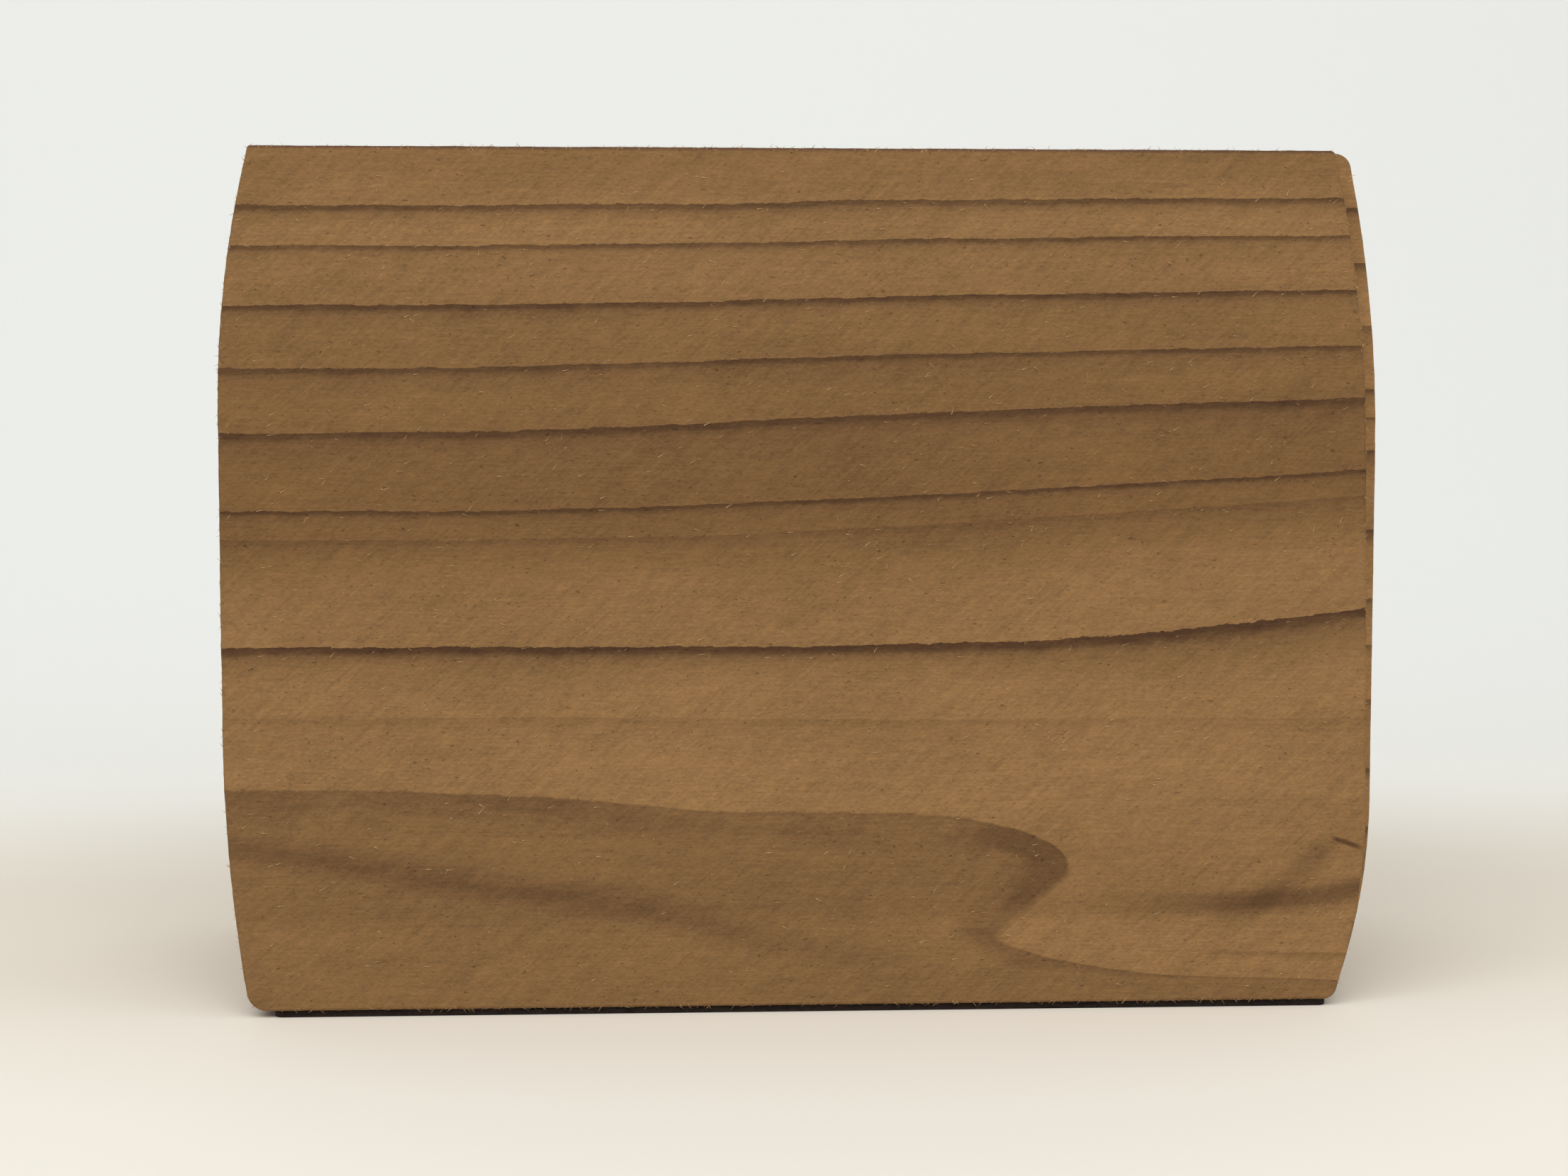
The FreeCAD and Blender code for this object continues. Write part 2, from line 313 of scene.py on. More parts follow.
def sanded_fibre_group():
    """Sanded bare softwood with its grain along X: streaks, raised hairs, pits, slanting scratches."""
    group, given, out = new_group(
        "Sanded fibre",
        [("Vector", "Vector", None), ("Slant", "Float", 0.7)],
        [("Tone", "Float"), ("Hair", "Float"), ("Height", "Float")])
    where = given["Vector"]
    streak = grained(group, where, (0.045, 1.6, 1.6), 3.0, 0.6)
    fine = grained(group, where, (0.35, 4.5, 4.5), 2.0, 0.6, shift=(7, 3, 1))
    cloud = grained(group, where, (0.05, 0.16, 0.16), 2.0, 0.5, shift=(1, 5, 9))
    speck = grained(group, where, (2.4, 4.2, 4.2), 2.0, 0.7, shift=(2, 8, 4))
    hair_bend = grained(group, where, (0.5, 0.5, 0.5), 1.0, shift=(11, 2, 6))
    hair_lift = node(group, "CombineXYZ", {"Z": times(group, hair_bend, 1.6)}).outputs[0]
    hair_where = node(group, "VectorMath", {0: where, 1: hair_lift}, operation="ADD").outputs[0]
    hair_raw = grained(group, hair_where, (1.5, 7.5, 7.5), 1.0, turn=(0, 0.35, 0))
    hair = ramp(group, hair_raw, 0.19, 0.27)
    pit_raw = grained(group, where, (2.0, 4.0, 4.0), 1.0, shift=(4, 4, 13))
    pit = ramp(group, pit_raw, -0.22, -0.3)
    turned = stretched(group, where, (1, 1, 1), turn=(0, 0.72, 0))
    scratch_raw = grained(group, turned, (0.12, 0.3, 4.2), 2.0, 0.6, shift=(3, 0, 0))
    scratch = times(group, scratch_raw, given["Slant"])
    nap_raw = grained(group, turned, (0.42, 0.5, 1.25), 3.0, 0.65, shift=(9, 1, 5))
    nap = times(group, nap_raw, given["Slant"])
    tones = [(streak, 0.18), (fine, 0.36), (cloud, 0.34), (speck, 0.60), (scratch, 0.50),
             (nap, 0.62), (pit, -0.34)]
    heights = [(fine, 0.35), (speck, 0.6), (scratch, 0.5), (nap, 0.9), (hair, 0.45), (pit, -0.6)]
    group.links.new(weighed(group, tones, 0.0), out["Tone"])
    group.links.new(hair, out["Hair"])
    group.links.new(weighed(group, heights, 0.0), out["Height"])
    return group


sanded_fibre = sanded_fibre_group()

# Growth lines at the board's left end, heights in millimetres, and how dark each one's late wood is.
growth_lines = [(27.6, 0.16), (33.95, 0.95), (43.6, 0.30), (46.2, 0.85), (53.3, 0.85), (59.05, 0.8),
                (64.7, 0.85), (70.05, 0.75), (73.65, 0.75), (83.0, 0.6)]
early_wood = srgb(148, 112, 70)
middle_wood = srgb(114, 82, 46)
late_wood = srgb(70, 44, 21)


def board_figure_group():
    """The playing board's own growth lines, from its object coordinates in millimetres."""
    group, given, out = new_group(
        "Playing board figure",
        [("Vector", "Vector", None)],
        [("Late", "Float"), ("Depth", "Float")])
    where = given["Vector"]
    split = node(group, "SeparateXYZ", {0: where}).outputs
    x = split["X"]
    true_z = split["Z"]

    # The lines waver, and are torn where the sander caught them.
    waver = grained(group, where, (0.06, 0.3, 0.12))
    shiver = grained(group, where, (0.35, 0.8, 0.5))
    torn = grained(group, where, (1.1, 1.6, 1.2), 2.0, 0.7, shift=(6, 0, 2))
    z = weighed(group, [(waver, 0.5), (shiver, 0.22), (torn, 0.36)], true_z)

    # They climb to the right: evenly in the upper half, late and steeply in the middle.
    even_climb = drawn_curve(group, x, [
        (-53, 0.0), (-30, 0.06), (-15, 0.2), (0, 0.42), (15, 0.62), (30, 0.8), (53, 1.0)])
    late_climb = drawn_curve(group, x, [
        (-53, 0.0), (-8, 0.02), (15, 0.2), (30, 0.45), (42, 0.76), (53, 1.1)])
    even_size = drawn_curve(group, true_z, [
        (0, 0.0), (24, -0.8), (29, -0.9), (36.8, 0.3), (44, 1.6), (49.7, 2.4),
        (56.4, 3.2), (61.2, 2.2), (66.3, 1.65), (71.3, 1.3), (74.8, 1.1), (80, 1.0)])
    late_size = drawn_curve(group, true_z, [
        (0, 0.0), (24, 0.0), (36.8, 2.6), (49.7, 1.3), (56, 0.1), (80, 0.0)])
    level = calc(group, "SUBTRACT", z, times(group, even_climb, even_size))
    level = calc(group, "SUBTRACT", level, times(group, late_climb, late_size))

    # Age counts growth lines upwards; its fraction is how far a year has come.
    ages = [(20.0, 0.0)]
    for number, (height, dark) in enumerate(growth_lines):
        ages.append((height, number + 1.0))
    age = drawn_curve(group, level, ages)
    year = calc(group, "FRACT", age)
    strength = 0.0
    for number, (height, dark) in enumerate(growth_lines):
        this_year = calc(group, "COMPARE", age, number + 0.5, 0.5)
        strength = calc(group, "MULTIPLY_ADD", this_year, dark, strength)
    late = drawn_curve(group, year, [
        (0.0, 0.0), (0.35, 0.0), (0.6, 0.07), (0.8, 0.25), (0.89, 0.52), (0.94, 0.88), (1.0, 1.0)])
    broken = grained(group, where, (0.22, 0.5, 1.2), 3.0, 0.7, shift=(0, 4, 8))
    late = times(group, late, strength, calc(group, "MULTIPLY_ADD", broken, 0.75, 1.06))

    # One line turns back on itself low on the board, where the saw ran along it: a long tongue.
    top_edge = drawn_curve(group, x, [
        (-53, 21.1), (-37, 20.9), (-33, 20.6), (-22, 20.1), (-8, 18.9), (2, 18.6),
        (12, 18.3), (18, 17.3), (22.5, 15.6), (24.8, 13.2), (26, 8)])
    right_edge = drawn_curve(group, true_z, [
        (0, 62), (2.4, 50), (3.1, 34), (4.0, 27), (5.4, 21), (6.6, 18.8),
        (8, 19.8), (10, 22.2), (12.3, 24.2), (14, 24.7), (17, 26), (19, 34)])
    below = calc(group, "SUBTRACT", top_edge, z)
    shaken_x = calc(group, "MULTIPLY_ADD", shiver, 0.8, x)
    left_of = times(group, calc(group, "SUBTRACT", right_edge, shaken_x), 0.55)
    inside = calc(group, "SMOOTH_MIN", below, left_of, 1.6)

    # Its edge is sharp along the top and soft under its nose; its inside is patchy.
    softness = drawn_curve(group, true_z, [
        (0, 0.15), (4.5, 0.2), (6.5, 0.9), (9, 1.1), (12, 0.6), (15, 0.2), (80, 0.15)])
    patch = grained(group, where, (0.07, 0.3, 0.22), shift=(4, 0, 2))
    mottle = grained(group, where, (0.16, 0.5, 0.5), 4.0, 0.65, shift=(8, 3, 1))
    shade = times(
        group,
        ramp(group, inside, 0.0, softness),
        ramp(group, inside, 7.0, 0.4, 0.04, 0.46),
        weighed(group, [(patch, 1.3), (mottle, 1.5)], 0.95))
    rim = times(
        group,
        ramp(group, inside, -0.05, softness),
        ramp(group, inside, 0.9, 0.1, 0.30, 0.62),
        0.8)
    tip = times(
        group,
        ramp(group, x, 8, 19),
        ramp(group, inside, 3.6, 1.8),
        ramp(group, inside, -0.05, softness),
        ramp(group, true_z, 7, 10.5),
        0.62)
    tongue = calc(group, "MAXIMUM", calc(group, "MAXIMUM", shade, rim), tip)

    # A soft band falls away below the tongue's top edge.
    fall = drawn_curve(group, x, [
        (-53, 15.3), (-44, 14.0), (-35, 12.4), (-25, 10.9), (-15, 9.4), (-8, 7.4), (2, 5.2), (20, 3.0)])
    from_fall = calc(group, "SUBTRACT", z, fall)
    band_strength = drawn_curve(group, x, [
        (-53, 0.32), (-30, 0.40), (-18, 0.38), (-8, 0.28), (4, 0.14), (12, 0.0)])
    band = times(
        group,
        ramp(group, from_fall, -1.7, 0.5),
        ramp(group, from_fall, 3.0, 0.3),
        band_strength,
        calc(group, "MULTIPLY_ADD", mottle, 1.8, 1.0))

    # A smoky streak runs in from the right, with a slanting one over it and a faint line below it.
    smoke_line = drawn_curve(group, x, [(20, 9.6), (32, 9.9), (42, 10.0), (53, 11.3)])
    smoke = times(
        group,
        ramp(group, apart(group, z, smoke_line), 1.7, 0.2),
        ramp(group, x, 20, 46, 0.08, 0.60))
    slant_line = drawn_curve(group, x, [(36, 7.8), (42, 10.2), (48, 14.2), (53, 17.0)])
    slant = times(
        group,
        ramp(group, apart(group, z, slant_line), 2.5, 0.0),
        ramp(group, x, 35, 44, 0.0, 0.36),
        ramp(group, x, 50, 47.5))
    faint_line = drawn_curve(group, x, [(26, 6.3), (38, 5.4), (53, 4.9)])
    under_faint = calc(group, "SUBTRACT", faint_line, z)
    faint = times(
        group,
        ramp(group, under_faint, -0.05, 0.1),
        ramp(group, under_faint, 1.0, 0.1),
        ramp(group, x, 28, 48, 0.0, 0.3))

    # A short check has opened beside the right end.
    check_line = calc(group, "MULTIPLY_ADD", x, -0.36, 33.4)
    check = times(
        group,
        ramp(group, apart(group, z, check_line), 0.38, 0.08),
        ramp(group, x, 48.6, 49.4, 0.0, 0.8),
        ramp(group, x, 52.0, 50.8))

    # Each of these marks darkens mostly what is still light.
    total = calc(group, "MAXIMUM", late, tongue)
    for mark in (band, smoke, slant, faint, check):
        still_light = calc(group, "SUBTRACT", 1.0, times(group, total, 0.6))
        total = calc(group, "ADD", total, times(group, mark, still_light))
    group.links.new(total, out["Late"])

    # Between the lines the wood is darkest a little above the middle of the board.
    depth = drawn_curve(group, level, [
        (0, 0.28), (5, 0.22), (10, 0.32), (15, 0.40), (21, 0.24), (25, 0.32), (30, 0.38), (33, 0.44),
        (37, 0.48), (42, 0.84), (45.5, 1.0), (51, 0.92), (55, 0.86), (60, 0.78), (64, 0.64), (67, 0.55),
        (71, 0.44), (76, 0.66), (80, 0.7)])
    group.links.new(depth, out["Depth"])
    return group


board_figure = board_figure_group()


def in_millimetres(tree):
    coordinates = node(tree, "TexCoord").outputs["Object"]
    return stretched(tree, coordinates, (1000, 1000, 1000))


def new_material(name):
    material = bpy.data.materials.new(name)
    material.use_nodes = True
    return material, material.node_tree, material.node_tree.nodes["Principled BSDF"]


def mixed(tree, share, first, second):
    """Goes from the first colour to the second as share goes from 0 to 1."""
    return node(tree, "Mix", {0: share, 6: first, 7: second}, data_type="RGBA").outputs[2]


def toned(tree, colour, tone):
    """Lightens or darkens a colour by a share of itself."""
    factor = calc(tree, "ADD", tone, 1.0)
    scaled = node(tree, "VectorMath", {0: colour, 3: factor}, operation="SCALE")
    return scaled.outputs[0]


def finish_wood(tree, surface, colour, fibre):
    """Raised hairs lightened over a wood colour, partly their own pale colour and partly painted highlight,
    then roughness and relief.
    """
    colour = toned(tree, colour, fibre["Tone"])
    # The hairs are lightened: partly their pale colour, partly painted highlight.
    lit = toned(tree, colour, times(tree, fibre["Hair"], 0.28))
    tree.links.new(lit, surface.inputs["Base Color"])
    rough = calc(tree, "MULTIPLY_ADD", fibre["Tone"], -0.3, 0.72)
    tree.links.new(rough, surface.inputs["Roughness"])
    relief = node(tree, "Bump", {"Height": fibre["Height"], "Strength": 0.8, "Distance": 0.12 * MM})
    tree.links.new(relief.outputs[0], surface.inputs["Normal"])
    surface.inputs["Specular IOR Level"].default_value = 0.25


playing_board_wood, tree, surface = new_material("playing_board_cedar")
here = in_millimetres(tree)
figure = placed(tree, board_figure, {"Vector": here})
fibre = placed(tree, sanded_fibre, {"Vector": here})
colour = mixed(tree, figure["Depth"], early_wood, middle_wood)
colour = mixed(tree, figure["Late"], colour, late_wood)
# The wood is painted darker in a thin line along the top arris.
split = node(tree, "SeparateXYZ", {0: here}).outputs
arris = board_front / MM
top_arris_darkening = times(
    tree,
    ramp(tree, split["Z"], 78.55, 78.85, 0.0, 0.75),
    ramp(tree, split["Y"], arris + 1.2, arris + 0.3))
colour = mixed(tree, top_arris_darkening, colour, srgb(74, 46, 33))
finish_wood(tree, surface, colour, fibre)
playing_board.data.materials.append(playing_board_wood)


# Fibres stand up from the bare wood: short ones over the face, others round the sawn outline.
def fibre_seed():
    """One fibre, 1 long along X and 1 thick, three-sided, pointed and bowed."""
    quarter_turn = (0, math.pi / 2, 0)
    bpy.ops.mesh.primitive_cone_add(vertices=3, radius1=0.5, radius2=0.08, depth=1.0, rotation=quarter_turn)
    seed = bpy.context.object
    bpy.ops.object.transform_apply(location=True, rotation=True, scale=True)
    bpy.ops.object.mode_set(mode="EDIT")
    bpy.ops.mesh.select_all(action="SELECT")
    bpy.ops.mesh.subdivide(number_cuts=1)
    bpy.ops.object.mode_set(mode="OBJECT")
    for vertex in seed.data.vertices:
        vertex.co.z += 0.5 * (0.25 - vertex.co.x ** 2)
    return seed


def scatter(seed, name, places):
    """Copies of a seed in one mesh. Each place is (position, length, thickness, turn)."""
    whole = bmesh.new()
    for position, length, thickness, turn in places:
        start = len(whole.verts)
        whole.from_mesh(seed.data)
        whole.verts.ensure_lookup_table()
        move = Matrix.LocRotScale(position, Euler(turn), Vector((length, thickness, thickness)))
        bmesh.ops.transform(whole, matrix=move, verts=whole.verts[start:])
    mesh = bpy.data.meshes.new(name)
    whole.to_mesh(mesh)
    whole.free()
    piece = bpy.data.objects.new(name, mesh)
    bpy.context.scene.collection.objects.link(piece)
    return piece


face_fibres = 1250
rim_fibres = 620


def board_fibres():
    draw = random.Random(11)
    places = []
    for number in range(face_fibres):
        x = draw.uniform(board_low.x + 2 * MM, board_high.x - 2 * MM)
        z = draw.uniform(2 * MM, 77 * MM)
        slant = draw.gauss(0.25, 0.5)
        length = draw.uniform(0.2, 0.75) * MM
        position = Vector((x, board_front - 0.01 * MM, z))
        places.append((position, length, draw.uniform(0.05, 0.12) * MM, (math.pi / 2, -slant, 0)))
    rim = [vertex.co.copy() for vertex in playing_board.data.vertices if on_outline(vertex.co)]
    rim = [place for place in rim if place.y < board_front + 0.35 * MM]
    for number in range(rim_fibres):
        place = draw.choice(rim)
        outward = math.atan2(place.z - 40 * MM, place.x)
        if place.z < core_low:
            outward = -math.pi / 2
        elif place.z > core_high:
            outward = math.pi / 2
        lean = outward + draw.choice((-1, 1)) * draw.uniform(0.5, 1.35)
        length = draw.uniform(0.2, 0.62) * MM
        position = place + Vector((math.cos(lean), 0, math.sin(lean))) * length * 0.3
        position.z = max(position.z, 0.35 * MM)
        places.append((position, length, draw.uniform(0.04, 0.09) * MM, (0, -lean, draw.uniform(-0.3, 0.3))))
    return places


seed = fibre_seed()
fibres = scatter(seed, "playing_board_fibres", board_fibres())
bpy.data.objects.remove(seed)
fibre_wood, tree, surface = new_material("raised_fibre")
here = in_millimetres(tree)
pale = grained(tree, here, (0.5, 0.5, 0.5), 1.0)
share = ramp(tree, pale, -0.25, 0.25)
tree.links.new(mixed(tree, share, srgb(144, 110, 70), srgb(178, 144, 100)), surface.inputs["Base Color"])
surface.inputs["Roughness"].default_value = 0.8
fibres.data.materials.append(fibre_wood)
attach(fibres, "root")


# ---------------------------------------------------------------- body rings
# Three 12.5 mm rings of cedar, each sawn from its own board with a window in it, glued face to face.
# The ends were filed and sanded together: they show end grain and a fine joint between two rings.

ring_lines = [17.0, 22.5, 29.0, 34.2, 38.6, 44.9, 52.2, 55.4, 58.0, 63.9, 69.7, 74.3, 79.6, 86.0, 93.0]


def turned_figure_group():
    """Growth rings round a pith along X, below the board: arcs in end grain, waves on a flat face."""
    group, given, out = new_group(
        "Ring figure",
        [("Vector", "Vector", None), ("Pith Y", "Float", 0.0), ("Pith Depth", "Float", 90.0),
         ("Shift", "Float", 0.0)],
        [("Late", "Float"), ("Depth", "Float")])
    where = given["Vector"]
    split = node(group, "SeparateXYZ", {0: where}).outputs
    waver = grained(group, where, (0.035, 0.12, 0.12), 3.0)
    across = calc(group, "SUBTRACT", split["Y"], given["Pith Y"])
    up = calc(group, "ADD", split["Z"], given["Pith Depth"])
    radius = calc(group, "SQRT", calc(group, "ADD", times(group, across, across), times(group, up, up)))
    level = calc(group, "SUBTRACT", radius, given["Pith Depth"])
    level = calc(group, "MULTIPLY_ADD", waver, 1.6, calc(group, "ADD", level, given["Shift"]))

    # Below the first ring line the years go on evenly, six of them, so the count starts below nought.
    ages = [(-20.0, -6.0), (8.0, 0.0)]
    for number, height in enumerate(ring_lines):
        ages.append((height, number + 1.0))
    age = drawn_curve(group, level, ages)
    year = calc(group, "FRACT", calc(group, "ADD", age, 20.0))
    late = drawn_curve(group, year, [
        (0.0, 0.0), (0.4, 0.0), (0.65, 0.1), (0.85, 0.4), (0.95, 0.9), (1.0, 1.0)])
    uneven = grained(group, where, (0.05, 0.05, 0.3), 1.0, shift=(3, 3, 3))
    late = times(group, late, calc(group, "MULTIPLY_ADD", uneven, 0.8, 0.7))
    group.links.new(late, out["Late"])
    group.links.new(calc(group, "MULTIPLY_ADD", uneven, 1.2, 0.4), out["Depth"])
    return group


def end_grain_group():
    """Where a face is turned along X the fibres are cut across: darker, with fine pores and file marks."""
    group, given, out = new_group(
        "End grain",
        [("Vector", "Vector", None), ("Normal", "Vector", None)],
        [("End", "Float"), ("Tone", "Float")])
    where = given["Vector"]
    facing = node(group, "SeparateXYZ", {0: given["Normal"]}).outputs
    end = ramp(group, calc(group, "ABSOLUTE", facing["X"]), 0.75, 0.95)
    pores = grained(group, where, (2.0, 3.4, 3.4), 3.0, 0.7)
    files = grained(group, where, (0.6, 0.25, 3.0), 2.0, 0.6, turn=(0.5, 0, 0))
    tone = weighed(group, [(pores, 0.5), (files, 0.45)], 0.0)
    group.links.new(end, out["End"])
    group.links.new(times(group, tone, end), out["Tone"])
    return group


turned_figure = turned_figure_group()
end_grain = end_grain_group()


def toned_plain(colour, light):
    return tuple(value * light for value in colour[:3]) + (1.0,)


def board_wood(name, pith_y, pith_depth, shift, light, joints):
    """Cedar with its own growth rings. joints holds the places along Y of its glued faces, in mm."""
    material, tree, surface = new_material(name)
    here = in_millimetres(tree)
    moved = stretched(tree, here, (1, 1, 1), shift=(shift * 9, shift * 5, 0))
    normal = node(tree, "TexCoord").outputs["Normal"]
    rings = {"Vector": here, "Pith Y": pith_y, "Pith Depth": pith_depth, "Shift": shift}
    figure = placed(tree, turned_figure, rings)
    fibre = placed(tree, sanded_fibre, {"Vector": moved, "Slant": 0.4})
    end = placed(tree, end_grain, {"Vector": moved, "Normal": normal})
    colour = mixed(tree, figure["Depth"], toned_plain(early_wood, light), toned_plain(middle_wood, light))
    colour = mixed(tree, figure["Late"], colour, late_wood)
    colour = mixed(tree, times(tree, end["End"], 0.35), colour, srgb(104, 72, 42))
    colour = toned(tree, colour, end["Tone"])
    y = node(tree, "SeparateXYZ", {0: here}).outputs["Y"]
    for joint in joints:
        darkening = ramp(tree, apart(tree, y, joint), 0.22, 0.05, 0.0, 0.55)
        colour = mixed(tree, darkening, colour, srgb(66, 42, 24))
    finish_wood(tree, surface, colour, fibre)
    return material


arris_easing = 0.14 * MM
ring_finishes = [
    # name, pith's place across the board, depth of the pith below the floor, shift of the rings, lightness,
    # which is painted light: the front ring lit up, the back one shaded
    ("front", -8.0, 95.0, 0.0, 1.18),
    ("middle", 9.0, 60.0, 3.1, 1.04),
    ("back", 2.0, 120.0, -2.3, 0.92),
]
for number, (place, pith_y, pith_depth, shift, light) in enumerate(ring_finishes):
    low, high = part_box("body_ring_" + place)
    ring = copy_of("body_ring_" + place, "ring_" + place)
    ease_rims(ring, (low.y, high.y), arris_easing)
    saw_outline(ring, 0.07 * MM, 20 + 7 * number)
    joints = (high.y / MM,) if place == "front" else (low.y / MM, high.y / MM)
    ring.data.materials.append(board_wood("ring_cedar_" + place, pith_y, pith_depth, shift, light, joints))


# ---------------------------------------------------------------- back gasket
# Half a millimetre of sheet cork between the back ring and the back board, so that the joint doesn't buzz.
# It is cut to the ring's face and held by the screws; only its edge shows.

cork, tree, surface = new_material("sheet_cork")
here = in_millimetres(tree)
grains = node(tree, "TexVoronoi", {"Vector": here, "Scale": 1.7}).outputs
grain_tone = node(tree, "SeparateColor", {0: grains["Color"]}).outputs["Red"]
fleck = noise(tree, here, 2.4, 2.0)
colour = mixed(tree, grain_tone, srgb(122, 88, 54), srgb(156, 118, 78))
colour = mixed(tree, ramp(tree, fleck, 0.12, 0.22), colour, srgb(92, 58, 34))
tree.links.new(colour, surface.inputs["Base Color"])
surface.inputs["Roughness"].default_value = 0.85
relief = node(tree, "Bump", {"Height": grain_tone, "Strength": 0.4, "Distance": 0.1 * MM})
tree.links.new(relief.outputs[0], surface.inputs["Normal"])


def finish(node_name, material):
    mesh = frame["nodes"][node_name].data
    mesh.materials.clear()
    mesh.materials.append(material)


finish("back_gasket", cork)


# ---------------------------------------------------------------- back board
# A 4 mm board of the same cedar, sawn to the body's outline and bored for the port and the screws.
# It isn't glued: six screws hold it against the gasket, so it can come off.

low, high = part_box("back_board")
back_panel = copy_of("back_board", "back_panel")
ease_rims(back_panel, (low.y,), arris_easing)
saw_outline(back_panel, 0.09 * MM, 50)
back_board_wood = board_wood("back_board_cedar", 160.0, 30.0, -128.0, 0.98, (low.y / MM,))
back_panel.data.materials.append(back_board_wood)


# ---------------------------------------------------------------- dowels
# Chamfered beech pins, glued blind across each joint in the corners beside the window.
# The two behind the back board are left dry in the board, and only locate it.

def plain_wood(name, light_colour, dark_colour, grain, roughness):
    """A small turned or planed piece. grain scales the figure along X, Y and Z: small along the grain."""
    material, tree, surface = new_material(name)
    here = in_millimetres(tree)
    figure = grained(tree, here, grain, 3.0, 0.6)
    finer = tuple(6 * value for value in grain)
    pores = grained(tree, here, finer, 2.0, 0.7, shift=(5, 5, 5))
    colour = mixed(tree, ramp(tree, figure, -0.2, 0.25), light_colour, dark_colour)
    colour = toned(tree, colour, times(tree, pores, 0.5))
    tree.links.new(colour, surface.inputs["Base Color"])
    tree.links.new(calc(tree, "MULTIPLY_ADD", pores, 0.3, roughness), surface.inputs["Roughness"])
    relief = node(tree, "Bump", {"Height": pores, "Strength": 0.3, "Distance": 0.1 * MM})
    tree.links.new(relief.outputs[0], surface.inputs["Normal"])
    surface.inputs["Specular IOR Level"].default_value = 0.35
    return material


beech = plain_wood("beech", srgb(205, 172, 130), srgb(178, 140, 98), (1.6, 0.08, 1.6), 0.5)
for node_name in ("front_board_dowels", "ring_dowels_front", "ring_dowels_back", "back_board_dowels"):
    finish(node_name, beech)


# ---------------------------------------------------------------- bars
# Four bars of quarter-sawn spruce, planed thin at both ends. They stand upright across the grain,
# two glued inside the playing board and two inside the back board, and keep both flat.

spruce = plain_wood("spruce", srgb(216, 187, 142), srgb(184, 146, 98), (1.5, 0.5, 0.03), 0.6)
for node_name in ("front_bar_left", "front_bar_right", "back_bar_left", "back_bar_right"):
    finish(node_name, spruce)


# ---------------------------------------------------------------- damping pad and runners
# Pressed wool felt, cut with a knife and glued: a grey pad inside the back board that takes the boom
# out of the box, and two thin strips under the drum, set in a little from its edges, made near black as
# painted shade.

def felt(name, light_colour, dark_colour):
    material, tree, surface = new_material(name)
    here = in_millimetres(tree)
    tangle = noise(tree, here, 1.4, 4.0, 0.7)
    wisp = grained(tree, here, (0.6, 3.0, 3.0), 3.0, 0.7, turn=(0.4, 0.5, 0.7))
    wool = calc(tree, "ADD", tangle, wisp)
    share = ramp(tree, wool, -0.3, 0.3)
    tree.links.new(mixed(tree, share, dark_colour, light_colour), surface.inputs["Base Color"])
    surface.inputs["Roughness"].default_value = 0.95
    surface.inputs["Specular IOR Level"].default_value = 0.1
    surface.inputs["Sheen Weight"].default_value = 0.15
    relief = node(tree, "Bump", {"Height": wool, "Strength": 0.6, "Distance": 0.3 * MM})
    tree.links.new(relief.outputs[0], surface.inputs["Normal"])
    return material


finish("damping_pad", felt("grey_felt", srgb(176, 172, 164), srgb(122, 118, 112)))
# The runners are made near black: painted shade for the dark gap under the drum's front edge.
painted_shade_felt = felt("painted_shade_felt", srgb(44, 34, 29), srgb(24, 17, 14))
finish("foot_runner_front", painted_shade_felt)
finish("foot_runner_back", painted_shade_felt)


# ---------------------------------------------------------------- port ring
# Walnut, turned on a lathe in one piece and oiled: a sleeve with a flange at its outer end.
# The sleeve sits in the back board's bore and the flange is glued to the board's outer face.

walnut = plain_wood("walnut", srgb(122, 80, 42), srgb(72, 44, 20), (0.10, 0.9, 0.55), 0.48)
finish("port_ring", walnut)


# ---------------------------------------------------------------- screws and cup washers
# Six slotted brass wood screws with raised heads in turned cup washers, dulled by handling.
# They go through the back board and the gasket into pilot holes in the back ring.

brass, tree, surface = new_material("dulled_brass")
here = in_millimetres(tree)
tarnish = noise(tree, here, 0.35, 2.0, 0.5)
brushed = grained(tree, here, (0.8, 0.8, 9.0), 2.0, 0.6)
share = ramp(tree, tarnish, -0.2, 0.3)
tree.links.new(mixed(tree, share, srgb(196, 166, 108), srgb(146, 114, 70)), surface.inputs["Base Color"])
tree.links.new(calc(tree, "MULTIPLY_ADD", tarnish, 0.35, 0.36), surface.inputs["Roughness"])
surface.inputs["Metallic"].default_value = 1.0
relief = node(tree, "Bump", {"Height": brushed, "Strength": 0.25, "Distance": 0.05 * MM})
tree.links.new(relief.outputs[0], surface.inputs["Normal"])
finish("back_cup_washers", brass)
finish("back_screws", brass)


# ---------------------------------------------------------------- studio
# White paper on a table, swept up behind the drum in one soft curve.
# A window stands high on the left of it and a weaker lamp high on the right.

paper_width = 4.0
paper_front = -2.0
paper_back = 0.41
paper_height = 0.9
sweep_radius = 0.25

bpy.ops.object.select_all(action="DESELECT")
paper_middle = (paper_front + paper_back) / 2
bpy.ops.mesh.primitive_plane_add(size=1.0, location=(0, paper_middle, 0))
paper = bpy.context.object
paper.name = "paper"
paper.scale = (paper_width, paper_back - paper_front, 1.0)
bpy.ops.object.transform_apply(location=True, rotation=False, scale=True)
select_edges(paper, lambda a, b: a.y > paper_middle and b.y > paper_middle)
rise = {"value": (0, 0, paper_height)}
edit(paper, bpy.ops.mesh.extrude_region_move, TRANSFORM_OT_translate=rise)
select_edges(paper, lambda a, b: a.y > paper_middle and b.y > paper_middle and a.z < MM and b.z < MM)
edit(paper, bpy.ops.mesh.bevel, offset=sweep_radius, segments=20, profile=0.5, affect="EDGES")
select_only(paper)
bpy.ops.object.shade_smooth()
paper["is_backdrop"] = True

paper_white, tree, surface = new_material("studio_paper")
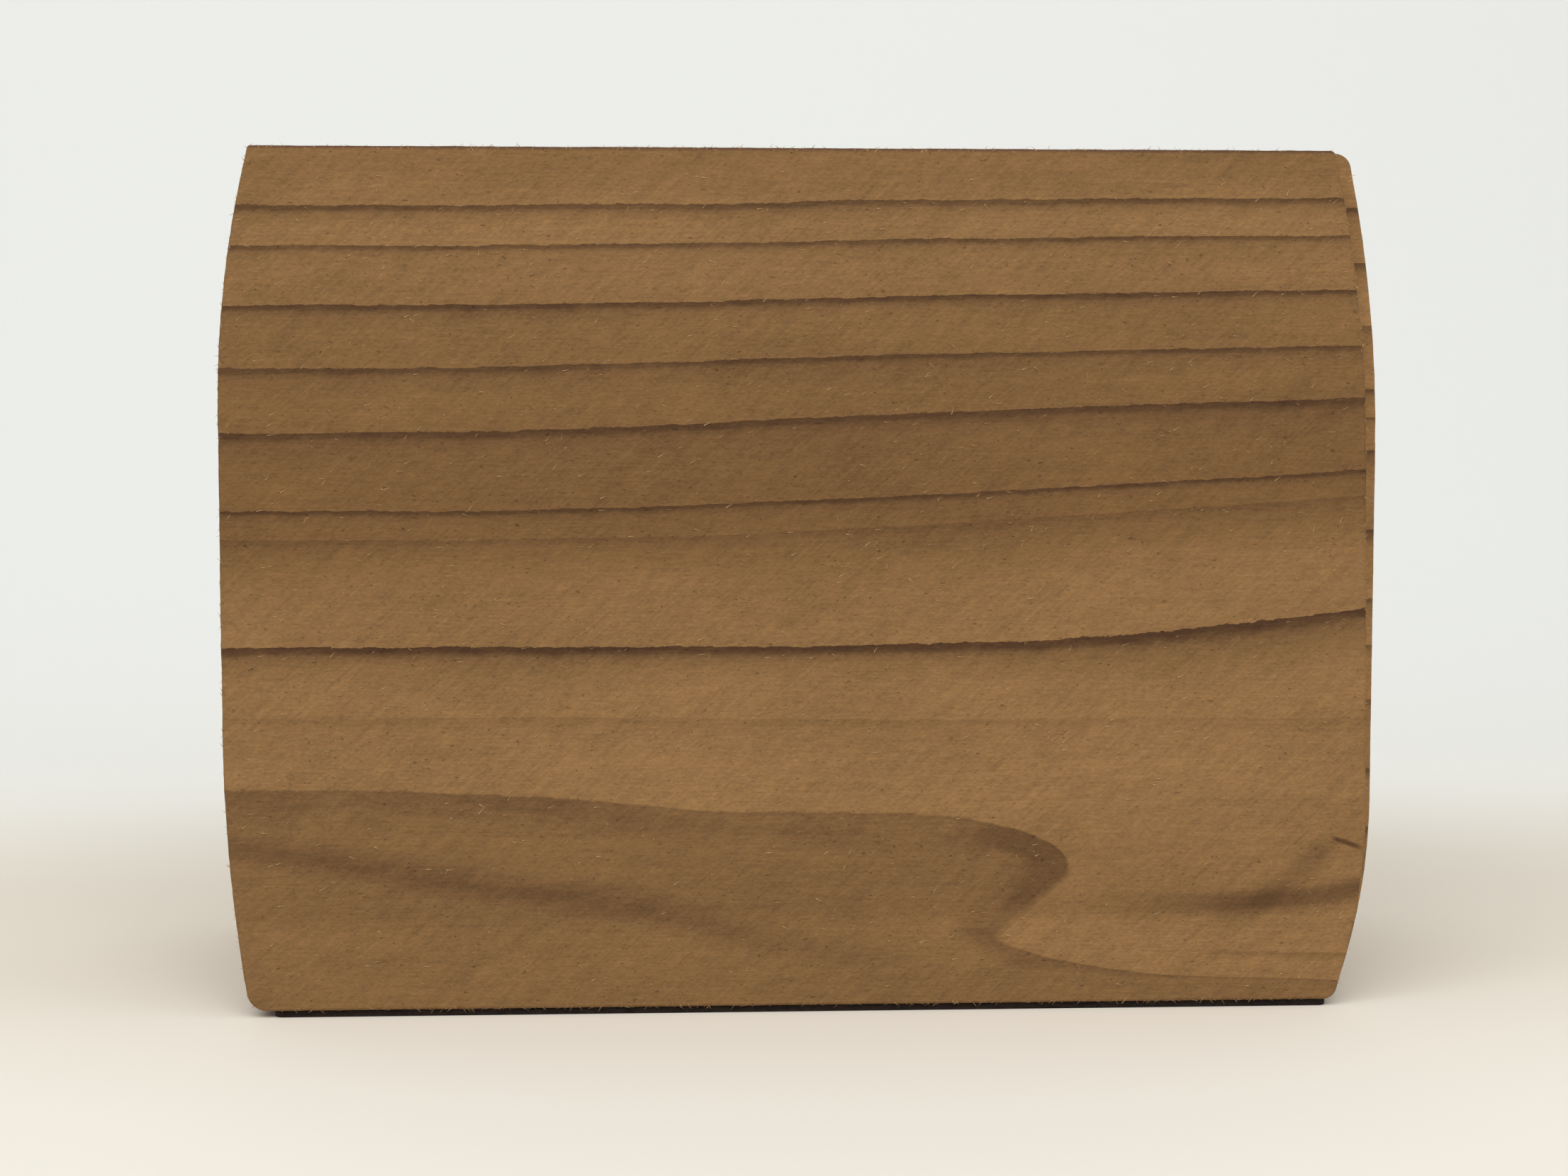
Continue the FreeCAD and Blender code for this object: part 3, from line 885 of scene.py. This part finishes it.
depth = node(tree, "SeparateXYZ", {0: node(tree, "TexCoord").outputs["Object"]}).outputs["Y"]
# The sweep behind is painted whiter and cooler than the part on the table: painted light.
colour = mixed(tree, ramp(tree, depth, -0.05, 0.3), srgb(241, 237, 228), srgb(245, 247, 246))
# Beside the drum the paper is painted warmer and darker: painted shade, with the warm light that the wood
# throws back.
painted_warm_shade = times(tree, ramp(tree, depth, -0.06, 0.0), ramp(tree, depth, 0.13, 0.03), 0.62)
colour = mixed(tree, painted_warm_shade, colour, srgb(231, 221, 205))
tree.links.new(colour, surface.inputs["Base Color"])
surface.inputs["Roughness"].default_value = 0.9
surface.inputs["Specular IOR Level"].default_value = 0.1
paper.data.materials.append(paper_white)

world = bpy.data.worlds.new("studio")
world.use_nodes = True
world_tree = world.node_tree
# What is seen of the room past the paper is brighter than the light that it gives.
room_light = 0.46
seen_light = 0.86
ray = node(world_tree, "LightPath").outputs
seen = calc(world_tree, "MAXIMUM", ray["Is Camera Ray"], ray["Is Glossy Ray"])
seen = calc(world_tree, "MAXIMUM", seen, ray["Is Transmission Ray"])
backdrop = world_tree.nodes["Background"]
backdrop.inputs["Color"].default_value = srgb(255, 254, 250)
strength = calc(world_tree, "MULTIPLY_ADD", seen, seen_light - room_light, room_light)
world_tree.links.new(strength, backdrop.inputs["Strength"])
bpy.context.scene.world = world


def soft_light(name, place, target, width, height, power):
    light = bpy.data.lights.new(name, "AREA")
    light.shape = "RECTANGLE"
    light.size = width
    light.size_y = height
    light.energy = power
    lamp = bpy.data.objects.new(name, light)
    bpy.context.scene.collection.objects.link(lamp)
    lamp.location = place
    lamp.rotation_euler = (Vector(target) - Vector(place)).to_track_quat("-Z", "Y").to_euler()


middle = (cad_low + cad_high) / 2
soft_light("window", (-0.15, -0.45, 0.55), middle, 0.9, 0.35, 3.4)
soft_light("room", (0.40, -0.30, 0.50), middle, 0.6, 0.4, 0.75)

# The camera stands close, a little left of the middle, and looks slightly down and to the right.
camera_data = bpy.data.cameras.new("camera")
camera = bpy.data.objects.new("camera", camera_data)
bpy.context.scene.collection.objects.link(camera)
camera_data.sensor_width = 36.0
camera_data.lens = 58.264
camera_data.clip_start = 0.005
camera_data.clip_end = 10.0
camera.location = (-0.0137, board_front - 0.2303, 0.0551)
swing = math.radians(2.9)
dip = math.radians(3.94)
look = Vector((math.sin(swing) * math.cos(dip), math.cos(swing) * math.cos(dip), -math.sin(dip)))
camera.rotation_euler = look.to_track_quat("-Z", "Y").to_euler()
bpy.context.scene.camera = camera
bpy.context.scene.view_settings.view_transform = "Standard"

low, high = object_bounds()
